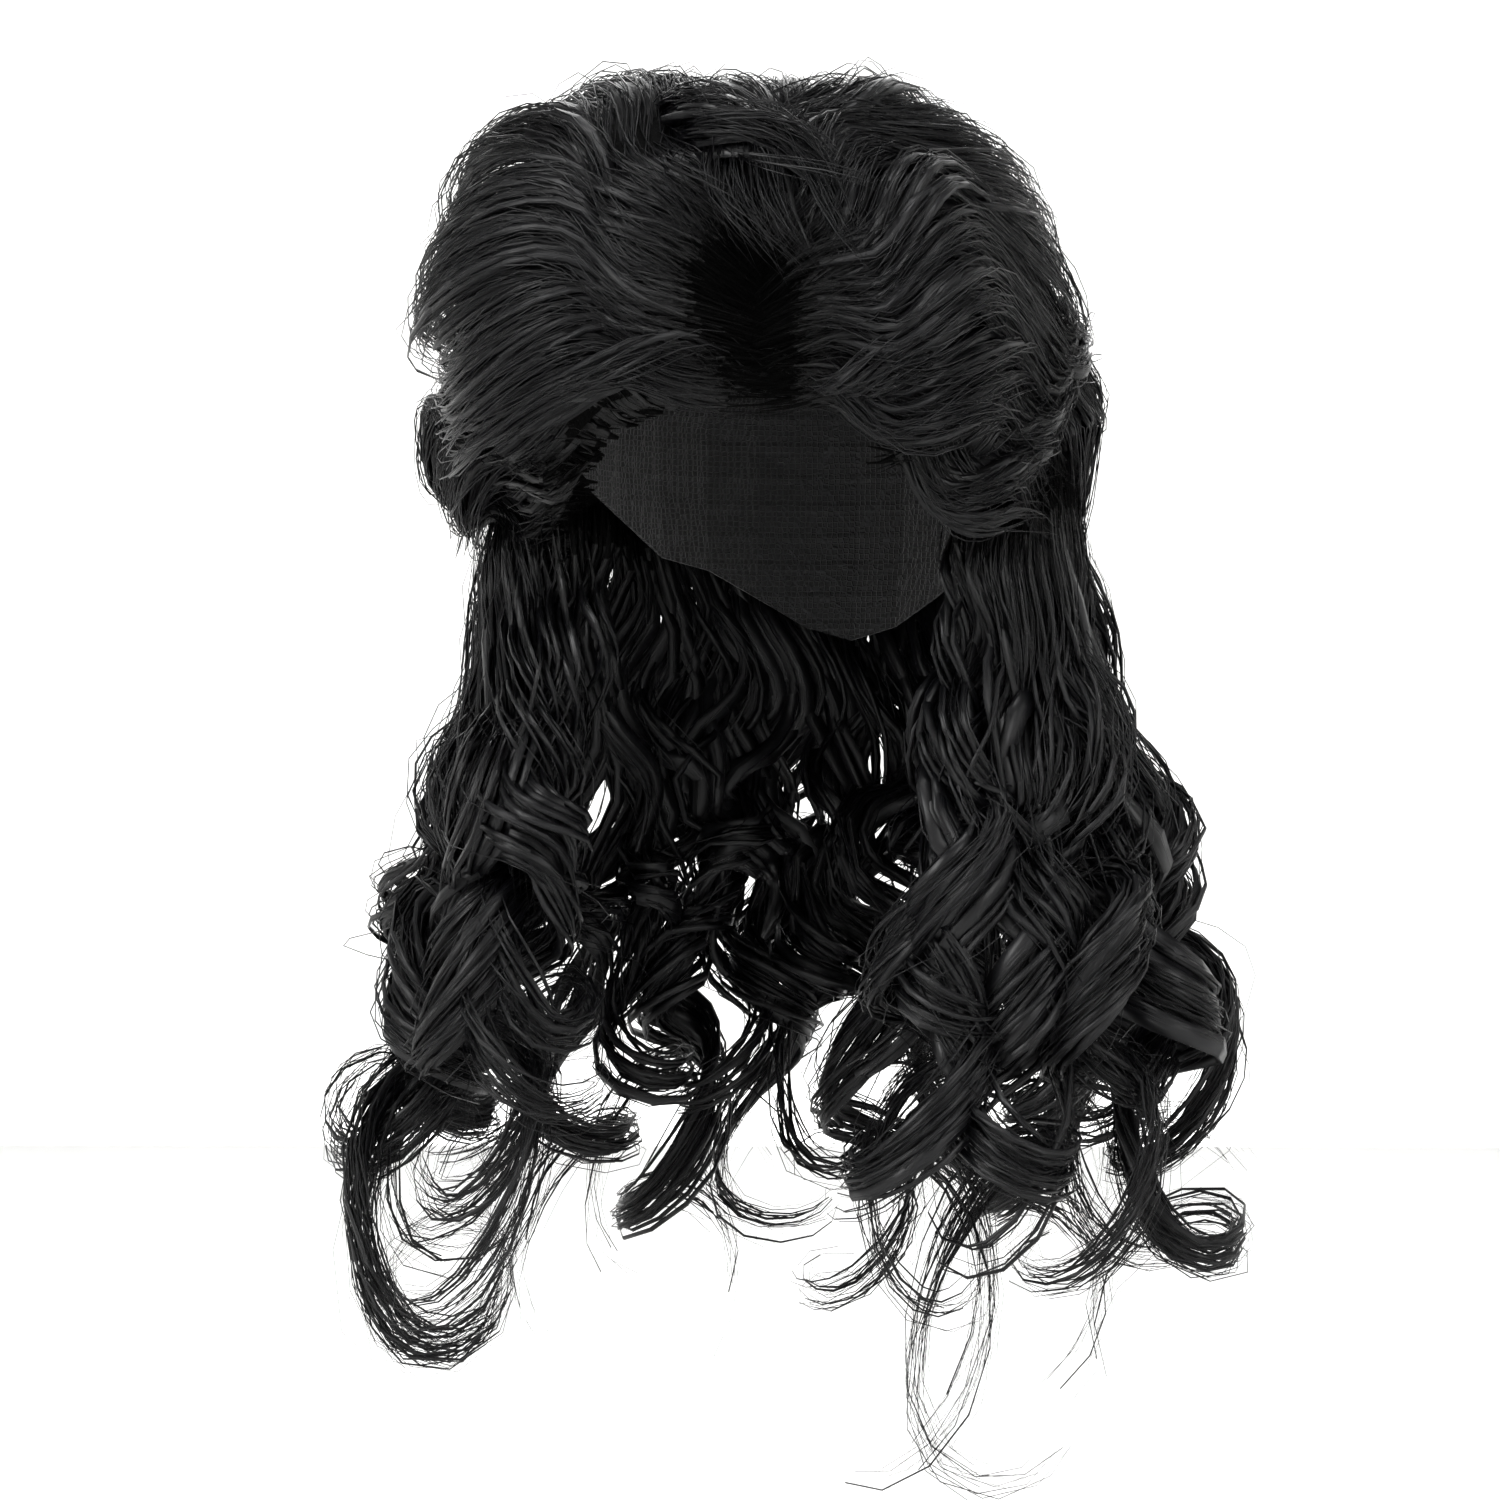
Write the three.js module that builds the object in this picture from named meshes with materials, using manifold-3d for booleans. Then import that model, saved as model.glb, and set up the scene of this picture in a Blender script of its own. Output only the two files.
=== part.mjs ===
// A mullet wig in black synthetic fibre: short, teased and swept back over the forehead and
// temples, long and curly at the sides and back. Millimetres, +Z up, the face looks along -Y and
// the wearer's left is +X. The origin is the crown seat, where the head's top touches the cap.
import * as THREE from "three";
import { mergeVertices } from "three/addons/utils/BufferGeometryUtils.js";
import Module from "manifold-3d";

const wasm = await Module();
wasm.setup();

// Head that the cap is cut for.
const headWidth = 154;
const headFront = 94; // crown seat to the forehead
const headBack = 104; // crown seat to the back of the head
const headRise = 92; // crown seat down to the widest level
const headTaper = 0.16; // share by which the head narrows, one more rise further down
const neckReach = 1.8; // how far down the head and neck the hair is kept off, as reach

// Cap and hair.
const capWall = 1.5;
const capDepth = 165; // crown seat down to the nape edge
const capSeam = 0.6; // share of the way to the rim where the net crown meets the wefted band
const seatGap = 0.4; // between one piece and the next
const crownLift = 62; // greatest height of the swept hair over the head
const napeLift = 26; // height of the long hair's backing over the head, at the ears
const backingDepth = 240; // crown seat down to where the backing ends and the locks hang alone
const backingWall = 14; // thickness of the backing at its lower edge
const backingShare = 0.8; // how far out the backing lies, as a share of its locks' way out
const hairDrop = 430; // crown seat down to the longest tips
const hairSpread = 152; // head's axis out to the widest curls
const sweepWidth = 40; // a swept front or side lock
const sweepThickness = 20;
const curlWidth = 33; // a long lock where it is fullest
const curlThickness = 18;
const curlRadius = 20; // of the greatest curl, from its own axis
const lockRoot = 0.72; // share of its fullest width that a lock has at its root
const lockTip = 0.2;
const lockSwell = 0.3; // share of its length over which a lock swells from its root
const lockThin = 0.45; // share of its length past which it thins to its tip
const swing = 0.75; // share of a long lock's length over which it swings out
const curlStart = 0.15; // share of a long lock's length where its curl begins
const curlGrowth = 0.7; // and where it is full
const curlQuickening = 1.2; // power by which its turns come closer on the way down
const ringStart = 0.3; // share of a long lock's length where its turns begin to tip into rings
const ringGrowth = 0.9;

// Fineness of the meshes.
const headSegments = 26;
const panelRows = 3; // on each of the cap's two panels
const crownRows = 6;
const sweepSides = 6;
const sweepRings = 7;
const curlSides = 5;
const curlRings = 16;
const backingRows = 3;
const wayStep = 0.01; // share of a lock's length on each side over which its direction is taken

// Cap edge and short hair's rim round the head: degrees from the forehead, drops as shares of the
// cap's depth. The table is one side, and the other side mirrors it.
const rims = [
  { azimuth: 0, cap: 0.44, hair: 0.5 },
  { azimuth: 28, cap: 0.48, hair: 0.54 },
  { azimuth: 54, cap: 0.6, hair: 0.66 },
  { azimuth: 76, cap: 0.76, hair: 0.74 },
  { azimuth: 98, cap: 0.67, hair: 0.74 },
  { azimuth: 126, cap: 0.82, hair: 0.72 },
  { azimuth: 180, cap: 1, hair: 0.7 },
];

// Outer form of the crown: height over the head as shares of the crown lift, down the head from
// its top to the rim. The wearer's right is a little fuller than the left.
const forms = [
  { azimuth: -150, upper: 0.54, middle: 0.56, lower: 0.5, rim: 0.4 },
  { azimuth: -105, upper: 0.56, middle: 0.7, lower: 0.64, rim: 0.46 },
  { azimuth: -70, upper: 0.6, middle: 0.82, lower: 0.72, rim: 0.44 },
  { azimuth: -35, upper: 0.58, middle: 0.74, lower: 0.52, rim: 0.14 },
  { azimuth: 0, upper: 0.5, middle: 0.52, lower: 0.34, rim: 0.1 },
  { azimuth: 35, upper: 0.52, middle: 0.58, lower: 0.4, rim: 0.12 },
  { azimuth: 70, upper: 0.5, middle: 0.56, lower: 0.44, rim: 0.18 },
  { azimuth: 105, upper: 0.48, middle: 0.52, lower: 0.44, rim: 0.26 },
  { azimuth: 150, upper: 0.5, middle: 0.52, lower: 0.46, rim: 0.38 },
  { azimuth: 180, upper: 0.5, middle: 0.52, lower: 0.46, rim: 0.38 },
];
const topLift = 0.42; // share of the crown lift at the very top, under the top locks

// Ways of the swept locks over the crown: root, middle and tip, each as azimuth in degrees, reach
// down the head (0 top, 1 widest level) and height as a share of the crown lift.
const sweeps = {
  front_sweep_right: [
    { root: [10, 0.94, 0.3], way: [-34, 0.9, 0.72], tip: [-84, 1.0, 0.94], width: 1 },
    { root: [9, 0.84, 0.44], way: [-36, 0.7, 0.98], tip: [-88, 0.84, 1.02], width: 1.05 },
    { root: [4, 0.7, 0.56], way: [-40, 0.54, 0.94], tip: [-98, 0.66, 1], width: 1.1 },
    { root: [-4, 0.52, 0.56], way: [-46, 0.38, 0.74], tip: [-112, 0.5, 0.88], width: 1.1 },
  ],
  front_sweep_left: [
    { root: [15, 0.95, 0.3], way: [44, 0.94, 0.48], tip: [86, 1.02, 0.52], width: 0.95 },
    { root: [17, 0.84, 0.42], way: [48, 0.74, 0.68], tip: [92, 0.84, 0.64], width: 1.05 },
    { root: [18, 0.68, 0.5], way: [54, 0.54, 0.72], tip: [100, 0.66, 0.68], width: 1.1 },
    { root: [22, 0.5, 0.5], way: [64, 0.38, 0.6], tip: [116, 0.48, 0.64], width: 1.1 },
  ],
  crown_top: [
    { root: [200, 0.3, 0.46], way: [250, 0.1, 0.5], tip: [4, 0.54, 0.8], width: 1.15 },
    { root: [160, 0.32, 0.46], way: [110, 0.1, 0.5], tip: [24, 0.5, 0.74], width: 1.1 },
    { root: [300, 0.12, 0.4], way: [240, 0.4, 0.76], tip: [226, 0.96, 0.86], width: 1.3 },
    { root: [240, 0.16, 0.4], way: [208, 0.5, 0.7], tip: [202, 1.04, 0.78], width: 1.3 },
    { root: [180, 0.1, 0.46], way: [180, 0.46, 0.72], tip: [180, 0.98, 0.8], width: 1.3 },
    { root: [120, 0.16, 0.4], way: [152, 0.5, 0.7], tip: [158, 1.04, 0.78], width: 1.3 },
    { root: [60, 0.1, 0.4], way: [118, 0.4, 0.7], tip: [134, 0.96, 0.8], width: 1.3 },
  ],
  side_wing_right: [
    { root: [-38, 1.06, 0.2], way: [-64, 1.14, 0.6], tip: [-96, 1.22, 0.8], width: 0.9 },
    { root: [-58, 0.96, 0.7], way: [-84, 1.04, 0.92], tip: [-112, 1.1, 0.98], width: 1 },
    { root: [-92, 0.8, 0.8], way: [-118, 0.86, 0.84], tip: [-146, 0.98, 0.8], width: 1.05 },
  ],
  side_wing_left: [
    { root: [38, 1.06, 0.26], way: [62, 1.14, 0.36], tip: [92, 1.24, 0.42], width: 0.95 },
    { root: [56, 0.96, 0.44], way: [84, 1.0, 0.5], tip: [112, 1.08, 0.58], width: 1 },
    { root: [88, 0.78, 0.54], way: [114, 0.84, 0.7], tip: [142, 0.98, 0.72], width: 1.05 },
  ],
};

// Long locks: root as azimuth, drop and height over the head, tip as azimuth, drop and way out
// from the head's axis, and curl as its size, its turns down the lock (minus winds the other way),
// the angle where it starts and how far it tips forward into rings. Drops are shares of the hair's
// drop, heights of the nape lift, ways out of the hair's spread, and size and width of the greatest.
const curls = {
  long_curls_right: [
    { root: [-116, 0.24, 1], tip: [-116, 0.84, 0.92], curl: [0.9, 3.2, 0, 0.5], width: 1 },
    { root: [-106, 0.23, 1.2], tip: [-103, 0.95, 0.96], curl: [1, -3.6, 100, 0.7], width: 1 },
    { root: [-96, 0.23, 1.3], tip: [-90, 0.88, 0.94], curl: [1.15, 3.2, 210, 0.8], width: 1 },
    { root: [-86, 0.23, 1.2], tip: [-75, 0.99, 0.84], curl: [1.2, -3.5, 310, 0.9], width: 1 },
    { root: [-76, 0.24, 0.9], tip: [-60, 0.9, 0.72], curl: [1.1, 3.3, 60, 0.9], width: 1 },
    { root: [-66, 0.26, 0.4], tip: [-53, 0.78, 0.6], curl: [0.9, -2.8, 160, 0.7], width: 0.8 },
  ],
  long_curls_left: [
    { root: [74, 0.26, 0.4], tip: [56, 0.8, 0.52], curl: [0.8, -2.9, 140, 0.7], width: 0.7 },
    { root: [81, 0.24, 0.7], tip: [44, 0.97, 0.56], curl: [1.1, 3.4, 40, 0.9], width: 1 },
    { root: [89, 0.23, 0.9], tip: [58, 1.03, 0.68], curl: [1.1, -3.7, 300, 0.9], width: 1 },
    { root: [97, 0.23, 1], tip: [76, 0.9, 0.8], curl: [1, 3.3, 200, 0.7], width: 1 },
    { root: [106, 0.23, 1], tip: [94, 0.96, 0.9], curl: [1, -3.6, 100, 0.6], width: 1 },
    { root: [115, 0.24, 1], tip: [112, 0.86, 0.92], curl: [0.95, 3.2, 0, 0.5], width: 1 },
  ],
  long_curls_back: [
    { root: [129, 0.24, 0.9], tip: [127, 0.9, 0.86], curl: [0.9, -3.5, 250, 0.5], width: 1 },
    { root: [146, 0.24, 0.9], tip: [145, 0.98, 0.82], curl: [0.9, 3.6, 0, 0.6], width: 1.1 },
    { root: [163, 0.24, 0.9], tip: [162, 0.88, 0.78], curl: [0.85, -3.2, 100, 0.5], width: 1.1 },
    { root: [180, 0.24, 0.9], tip: [180, 1.02, 0.76], curl: [0.9, 3.7, 200, 0.6], width: 1.1 },
    { root: [197, 0.24, 0.9], tip: [198, 0.9, 0.78], curl: [0.85, -3.4, 310, 0.5], width: 1.1 },
    { root: [214, 0.24, 0.9], tip: [215, 0.97, 0.82], curl: [0.9, 3.6, 40, 0.6], width: 1.1 },
    { root: [231, 0.24, 0.9], tip: [232, 0.94, 0.86], curl: [0.9, -3.5, 150, 0.5], width: 1 },
  ],
};

const radians = THREE.MathUtils.degToRad;
const mix = THREE.MathUtils.lerp;
const smooth = THREE.MathUtils.smoothstep;

// A value between the rows of a table, eased from row to row, that closes on itself every turn.
function roundTheHead(rows, azimuth, column) {
  const turned = THREE.MathUtils.euclideanModulo(azimuth - rows[0].azimuth, 360) + rows[0].azimuth;
  const closed = [...rows, { ...rows[0], azimuth: rows[0].azimuth + 360 }];
  const next = closed.findIndex((row) => row.azimuth > turned);
  const [low, high] = [closed[next - 1], closed[next]];
  return mix(low[column], high[column], smooth(turned, low.azimuth, high.azimuth));
}

// The same for a one-sided table, whose other side mirrors it.
function mirrored(rows, azimuth, column) {
  const off = Math.abs(THREE.MathUtils.euclideanModulo(azimuth + 180, 360) - 180);
  const next = rows.findIndex((row) => row.azimuth >= off && row.azimuth > 0);
  const [low, high] = [rows[next - 1], rows[next]];
  return mix(low[column], high[column], smooth(off, low.azimuth, high.azimuth));
}

// Point at a height over the head: reach 0 is its top and 1 its widest level, and past that the
// head narrows towards the neck.
function overHead(azimuth, reach, height) {
  const turn = radians(azimuth);
  const fall = Math.min(reach, 1) * (Math.PI / 2);
  const below = (Math.max(reach, 1) - 1) * (Math.PI / 2);
  const girth = Math.sin(fall) * (1 - headTaper * below * below);
  const side = (headWidth / 2) * girth + height * Math.sin(fall);
  const along = (Math.cos(turn) > 0 ? headFront : headBack) * girth + height * Math.sin(fall);
  const drop = headRise * (1 - Math.cos(fall) + below) - height * Math.cos(fall);
  return new THREE.Vector3(side * Math.sin(turn), -along * Math.cos(turn), -drop);
}

// Reach at which the head's surface lies a drop below the crown seat.
function reachAt(drop) {
  const past = Math.max(drop / headRise - 1, 0);
  return Math.acos(1 - Math.min(drop / headRise, 1)) / (Math.PI / 2) + past / (Math.PI / 2);
}

// Height of the crown's outer form, as a share of the lift, a share of the way to its rim.
function formAt(azimuth, share) {
  const columns = ["upper", "middle", "lower", "rim"];
  const heights = [topLift, ...columns.map((column) => roundTheHead(forms, azimuth, column))];
  const step = share * columns.length;
  const row = Math.min(Math.floor(step), columns.length - 1);
  return mix(heights[row], heights[row + 1], step - row);
}

// A closed mesh as a manifold-3d solid.
function solidOf(geometry) {
  const bare = geometry.clone();
  bare.deleteAttribute("normal");
  bare.deleteAttribute("uv");
  const merged = mergeVertices(bare, 1e-3);
  const triVerts = new Uint32Array(merged.index.array);
  const vertProperties = merged.attributes.position.array;
  return new wasm.Manifold(new wasm.Mesh({ numProp: 3, vertProperties, triVerts }));
}

// A surface of revolution bent to the head. The rows run down its outside, and placeAt gives the
// place of a row at an azimuth.
function bentLathe(downwards, placeAt) {
  const rows = downwards.toReversed();
  const profile = rows.map((row, index) => new THREE.Vector2(row.onAxis ? 0 : 1, index));
  const geometry = new THREE.LatheGeometry(profile, headSegments);
  const places = geometry.attributes.position;
  for (let k = 0; k < places.count; k++) {
    const segment = Math.floor(k / rows.length) % headSegments;
    const place = placeAt(rows[k % rows.length], (360 * segment) / headSegments);
    places.setXYZ(k, ...place.toArray());
  }
  return solidOf(geometry);
}

const rimReach = (azimuth, rim) => reachAt(mirrored(rims, azimuth, rim) * capDepth);
const panelShares = (from, to) =>
  Array.from({ length: panelRows + 1 }, (_, row) => mix(from, to, row / panelRows));

// A part of the cap's wall, stretched over the head from one share of the way to its rim down to
// another, with half the seat gap left at each end that isn't the rim or the top.
function capPanel(from, to) {
  const wall = (height) =>
    panelShares(from, to).map((share) => ({ share, height, onAxis: share === 0 }));
  const rows = [...wall(0).toReversed(), ...wall(capWall)];
  const seam = seatGap / Math.PI / headRise;
  return bentLathe([...rows, rows[0]], ({ share, height, onAxis }, azimuth) => {
    const back = (share === from && !onAxis ? seam : 0) - (share === to && to < 1 ? seam : 0);
    return overHead(azimuth, share * rimReach(azimuth, "cap") + back, height);
  });
}

// The head with the cap on it, as what the hair is kept off.
function headForm() {
  const height = capWall + seatGap;
  const capShares = [...panelShares(0, capSeam), ...panelShares(capSeam, 1).slice(1)];
  const capRows = capShares.map((share) => ({ share, height, onAxis: share === 0 }));
  const neckRows = [1, 2].map((step) => ({ neck: step / 2, height }));
  const bottom = { onAxis: true };
  return bentLathe([...capRows, ...neckRows, bottom], (row, azimuth) => {
    if (row === bottom) return overHead(0, neckReach, height).setX(0).setY(0);
    const edge = rimReach(azimuth, "cap");
    const reach = row.neck ? mix(edge, neckReach, row.neck) : row.share * edge;
    return overHead(azimuth, reach, row.height);
  });
}

// The dense teased hair over the cap, down to the short hair's rim.
function teasedForm(margin) {
  const rows = Array.from({ length: crownRows + 1 }, (_, row) => ({
    share: row / crownRows,
    onAxis: row === 0,
  }));
  const bottom = { onAxis: true };
  return bentLathe([...rows, bottom], (row, azimuth) => {
    if (row === bottom) return new THREE.Vector3(0, 0, -headRise);
    const height = formAt(azimuth, row.share) * crownLift + margin;
    const place = overHead(azimuth, row.share * rimReach(azimuth, "hair"), height);
    if (row.share === 1) place.z -= margin;
    return place;
  });
}

// A lock of hair swept along a way: a flattened tube, wide across the way and thin outwards,
// that swells from its root and thins to its tip.
function lock(way, outwards, width, thickness, sides, rings) {
  const geometry = new THREE.CylinderGeometry(1, 1, 1, sides, rings);
  const places = geometry.attributes.position;
  for (let k = 0; k < places.count; k++) {
    const share = 0.5 - places.getY(k);
    const at = way(share);
    const [before, after] = [Math.max(share - wayStep, 0), Math.min(share + wayStep, 1)];
    const ahead = way(after).sub(way(before)).normalize();
    const out = outwards(share);
    out.addScaledVector(ahead, -out.dot(ahead)).normalize();
    const across = out.clone().cross(ahead);
    const swell = mix(lockRoot, 1, smooth(share, 0, lockSwell));
    const full = swell * mix(1, lockTip, smooth(share, lockThin, 1));
    at.addScaledVector(across, (places.getX(k) * full * width) / 2);
    at.addScaledVector(out, (places.getZ(k) * full * thickness) / 2);
    places.setXYZ(k, ...at.toArray());
  }
  return solidOf(geometry);
}

// A swept lock of the crown, grown by a margin all round.
function sweptLock({ root, way, tip, width }, margin) {
  const [start, middle, end] = [root, way, tip].map(([azimuth, reach, height]) =>
    overHead(azimuth, reach, height * crownLift - sweepThickness / 2),
  );
  const bend = middle.multiplyScalar(2).addScaledVector(start, -0.5).addScaledVector(end, -0.5);
  const curve = new THREE.QuadraticBezierCurve3(start, bend, end);
  const headMiddle = new THREE.Vector3(0, 0, -headRise);
  const outwards = (share) => curve.getPoint(share).sub(headMiddle);
  const section = [width * sweepWidth + 2 * margin, sweepThickness + 2 * margin];
  return lock((share) => curve.getPoint(share), outwards, ...section, sweepSides, sweepRings);
}

// The dense hair that a group of long locks hangs from, from the cap's edge to below the jaw: a
// wall bent round the head, with its roots, heights and ways out taken from the locks.
function backing(rows, margin) {
  const geometry = new THREE.BoxGeometry(1, 1, 1, 2 * (rows.length - 1), backingRows, 1);
  const places = geometry.attributes.position;
  for (let k = 0; k < places.count; k++) {
    const [around, up, through] = [places.getX(k), places.getY(k), places.getZ(k)];
    const at = (around + 0.5) * (rows.length - 1);
    const [low, high] = [rows[Math.floor(at)], rows[Math.ceil(at)]];
    const between = (pick) => mix(pick(low), pick(high), at - Math.floor(at));
    const azimuth = between(({ root }) => root[0]);
    const lift = between(({ root }) => root[2]) * backingShare * napeLift;
    const reach = reachAt(between(({ root }) => root[1]) * hairDrop);
    const out = between(({ tip }) => tip[2]) * backingShare * hairSpread;
    const turn = radians(azimuth);
    const outward = new THREE.Vector3(Math.sin(turn), -Math.cos(turn), 0);
    const sideways = new THREE.Vector3(Math.cos(turn), Math.sin(turn), 0);
    const top = overHead(azimuth, reach, capWall + (through + 0.5) * lift);
    const bottom = outward.clone().multiplyScalar(out + through * backingWall);
    const level = mix(-backingDepth, top.z, up + 0.5);
    const place = bottom.lerp(top, smooth(up + 0.5, 0, 1)).setZ(level + 2 * up * margin);
    place.addScaledVector(outward, 2 * through * margin);
    place.addScaledVector(sideways, 2 * around * margin);
    places.setXYZ(k, ...place.toArray());
  }
  return solidOf(geometry);
}

// A long lock: it leaves the cap, swings out and hangs, and its curl grows on the way down.
function longLock({ root, tip, curl, width }, margin) {
  const [[from, high, lift], [to, low, out], [size, turns, phase, tilt]] = [root, tip, curl];
  const start = overHead(from, reachAt(high * hairDrop), lift * napeLift - curlThickness / 2);
  const rootOut = Math.hypot(start.x, start.y);
  const axisAt = (share) => {
    const azimuth = radians(mix(from, to, smooth(share, 0, 1)));
    const belly = mix(rootOut, out * hairSpread, smooth(share, 0, swing));
    const drop = mix(-start.z, low * hairDrop, share);
    return new THREE.Vector3(belly * Math.sin(azimuth), -belly * Math.cos(azimuth), -drop);
  };
  const away = (share) => axisAt(share).setZ(0).normalize();
  const way = (share) => {
    const angle = radians(phase + 360 * turns * share ** curlQuickening);
    const radius = size * curlRadius * smooth(share, curlStart, curlGrowth);
    const outward = away(share);
    const sideways = new THREE.Vector3(-outward.y, outward.x, 0);
    const coil = sideways.multiplyScalar(Math.cos(angle) * radius);
    coil.addScaledVector(outward, Math.sin(angle) * radius);
    coil.z = coil.y * tilt * smooth(share, ringStart, ringGrowth);
    return axisAt(share).add(coil);
  };
  const section = [width * curlWidth + 2 * margin, curlThickness + 2 * margin];
  return lock(way, away, ...section, curlSides, curlRings);
}

const union = (solids) => solids.reduce((all, next) => all.add(next));

// The largest body of a solid, because a cut can leave crumbs.
function whole(solid) {
  return solid.decompose().reduce((best, body) => (body.volume() > best.volume() ? body : best));
}

// The hair, from the crown outwards and down. Each piece is cut where it lies against the ones
// before it, which leaves the seat gap between them.
function hairPieces() {
  const taken = [headForm()];
  const pieces = [];
  const add = (name, make) => {
    pieces.push({ name, solid: whole(taken.reduce((left, other) => left.subtract(other), make(0))) });
    taken.push(make(seatGap));
  };
  const swept = (name) => (margin) => union(sweeps[name].map((row) => sweptLock(row, margin)));
  add("crown_hair", (margin) => teasedForm(margin).add(swept("crown_top")(margin)));
  for (const name of Object.keys(sweeps).filter((name) => name !== "crown_top"))
    add(name, swept(name));
  for (const [name, rows] of Object.entries(curls))
    add(name, (margin) => union([backing(rows, margin), ...rows.map((row) => longLock(row, margin))]));
  return pieces;
}

const capMaterial = new THREE.MeshStandardMaterial({ color: 0x141414, roughness: 0.9 });
const hairMaterial = new THREE.MeshStandardMaterial({ color: 0x1b1b1c, roughness: 0.38 });

function meshOf(name, solid, material) {
  const { vertProperties, triVerts } = solid.getMesh();
  const geometry = new THREE.BufferGeometry();
  geometry.setAttribute("position", new THREE.BufferAttribute(vertProperties, 3));
  geometry.setIndex(new THREE.BufferAttribute(triVerts, 1));
  geometry.computeVertexNormals();
  const mesh = new THREE.Mesh(geometry, material);
  mesh.name = name;
  return mesh;
}

const wig = new THREE.Group();
wig.add(meshOf("cap_crown", capPanel(0, capSeam), capMaterial));
wig.add(meshOf("cap_band", capPanel(capSeam, 1), capMaterial));
for (const { name, solid } of hairPieces()) wig.add(meshOf(name, solid, hairMaterial));

export default wig;
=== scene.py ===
"""A mullet wig in black synthetic fibre, held up as a head holds it: short, teased and swept back
over the forehead and temples, with long spiral curls at the sides and back.

Metres, +Z up, the face looks along -Y and the wearer's left is +X. The origin is the crown seat,
where the top of the head touches the inside of the cap.
"""

import math

import bmesh
import bpy
import numpy as np
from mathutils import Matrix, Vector


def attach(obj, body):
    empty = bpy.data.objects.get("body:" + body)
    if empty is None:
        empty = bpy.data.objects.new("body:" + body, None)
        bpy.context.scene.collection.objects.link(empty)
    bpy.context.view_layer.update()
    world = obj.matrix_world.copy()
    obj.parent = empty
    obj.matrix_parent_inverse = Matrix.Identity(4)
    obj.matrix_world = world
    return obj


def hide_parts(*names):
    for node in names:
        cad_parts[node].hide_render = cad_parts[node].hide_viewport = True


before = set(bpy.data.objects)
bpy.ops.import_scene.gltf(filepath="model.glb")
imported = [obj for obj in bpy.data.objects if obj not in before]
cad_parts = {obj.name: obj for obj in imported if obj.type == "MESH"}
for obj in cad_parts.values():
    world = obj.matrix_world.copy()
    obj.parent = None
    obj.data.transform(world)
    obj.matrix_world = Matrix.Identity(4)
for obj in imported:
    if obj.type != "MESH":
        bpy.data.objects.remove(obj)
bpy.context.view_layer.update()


# Camera
# It stands level with the middle of the wig and a little to the wearer's left, far enough away for
# the flat perspective of a catalogue picture.
camera_azimuth = math.radians(16)
camera_distance = 1.668
camera_aside = -0.0116
camera_height = -0.2055
camera_data = bpy.data.cameras.new("camera")
camera_data.sensor_width = 36
camera_data.lens = 114
camera = bpy.data.objects.new("camera", camera_data)
sine, cosine = math.sin(camera_azimuth), math.cos(camera_azimuth)
camera.location = (
    camera_aside * cosine + camera_distance * sine,
    camera_aside * sine - camera_distance * cosine,
    camera_height,
)
camera.rotation_euler = (math.pi / 2, 0, camera_azimuth)
bpy.context.scene.collection.objects.link(camera)
bpy.context.scene.camera = camera


# Studio
# A pale painted floor that curves up into a wall all round, so that no edge shows behind the wig.
# Large soft lights stand in front to both sides and overhead, as for a catalogue picture.
def linear(colour):
    """The linear colour, with alpha, of an sRGB hex value such as "#808080"."""
    channels = [int(colour[k : k + 2], 16) / 255 for k in (1, 3, 5)]
    return (*(c / 12.92 if c <= 0.04045 else ((c + 0.055) / 1.055) ** 2.4 for c in channels), 1)


def add(tree, kind, inputs=None, **settings):
    """Adds a shader node with its settings, and sets or links its inputs."""
    made = tree.nodes.new("ShaderNode" + kind)
    for name, value in settings.items():
        setattr(made, name, value)
    for name, value in (inputs or {}).items():
        if isinstance(value, bpy.types.NodeSocket):
            tree.links.new(value, made.inputs[name])
        else:
            made.inputs[name].default_value = value
    return made


def new_material(name):
    """An empty material, its node tree and its output node."""
    material = bpy.data.materials.new(name)
    material.use_nodes = True
    material.node_tree.nodes.clear()
    return material, material.node_tree, add(material.node_tree, "OutputMaterial")


def show(name, mesh, *materials):
    """Puts a mesh in the scene at the origin."""
    shown = bpy.data.objects.new(name, mesh)
    for material in materials:
        mesh.materials.append(material)
    bpy.context.scene.collection.objects.link(shown)
    return shown


paint, tree, output = new_material("matt_studio_paint")
shader = add(tree, "BsdfPrincipled", {"Base Color": linear("#f3f3f2"), "Roughness": 0.9})
tree.links.new(shader.outputs["BSDF"], output.inputs["Surface"])

floor_level = -0.56
floor_radius = 4.0
cove_radius = 1.5
wall_height = 5.0
cove = bmesh.new()
edge = [cove.verts.new((0, 0, floor_level)), cove.verts.new((floor_radius, 0, floor_level))]
for step in range(1, 9):
    turn = math.pi / 2 * step / 8
    out = floor_radius + cove_radius * math.sin(turn)
    up = floor_level + cove_radius * (1 - math.cos(turn))
    edge.append(cove.verts.new((out, 0, up)))
edge.append(cove.verts.new((floor_radius + cove_radius, 0, floor_level + wall_height)))
lines = [cove.edges.new(pair) for pair in zip(edge, edge[1:])]
bmesh.ops.spin(
    cove,
    geom=edge + lines,
    cent=(0, 0, 0),
    axis=(0, 0, 1),
    angle=2 * math.pi,
    steps=96,
    use_merge=True,
)
bmesh.ops.remove_doubles(cove, verts=cove.verts, dist=1e-5)
for face in cove.faces:
    face.smooth = True
mesh = bpy.data.meshes.new("studio_floor")
cove.to_mesh(mesh)
cove.free()
show("studio_floor", mesh, paint)

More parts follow.
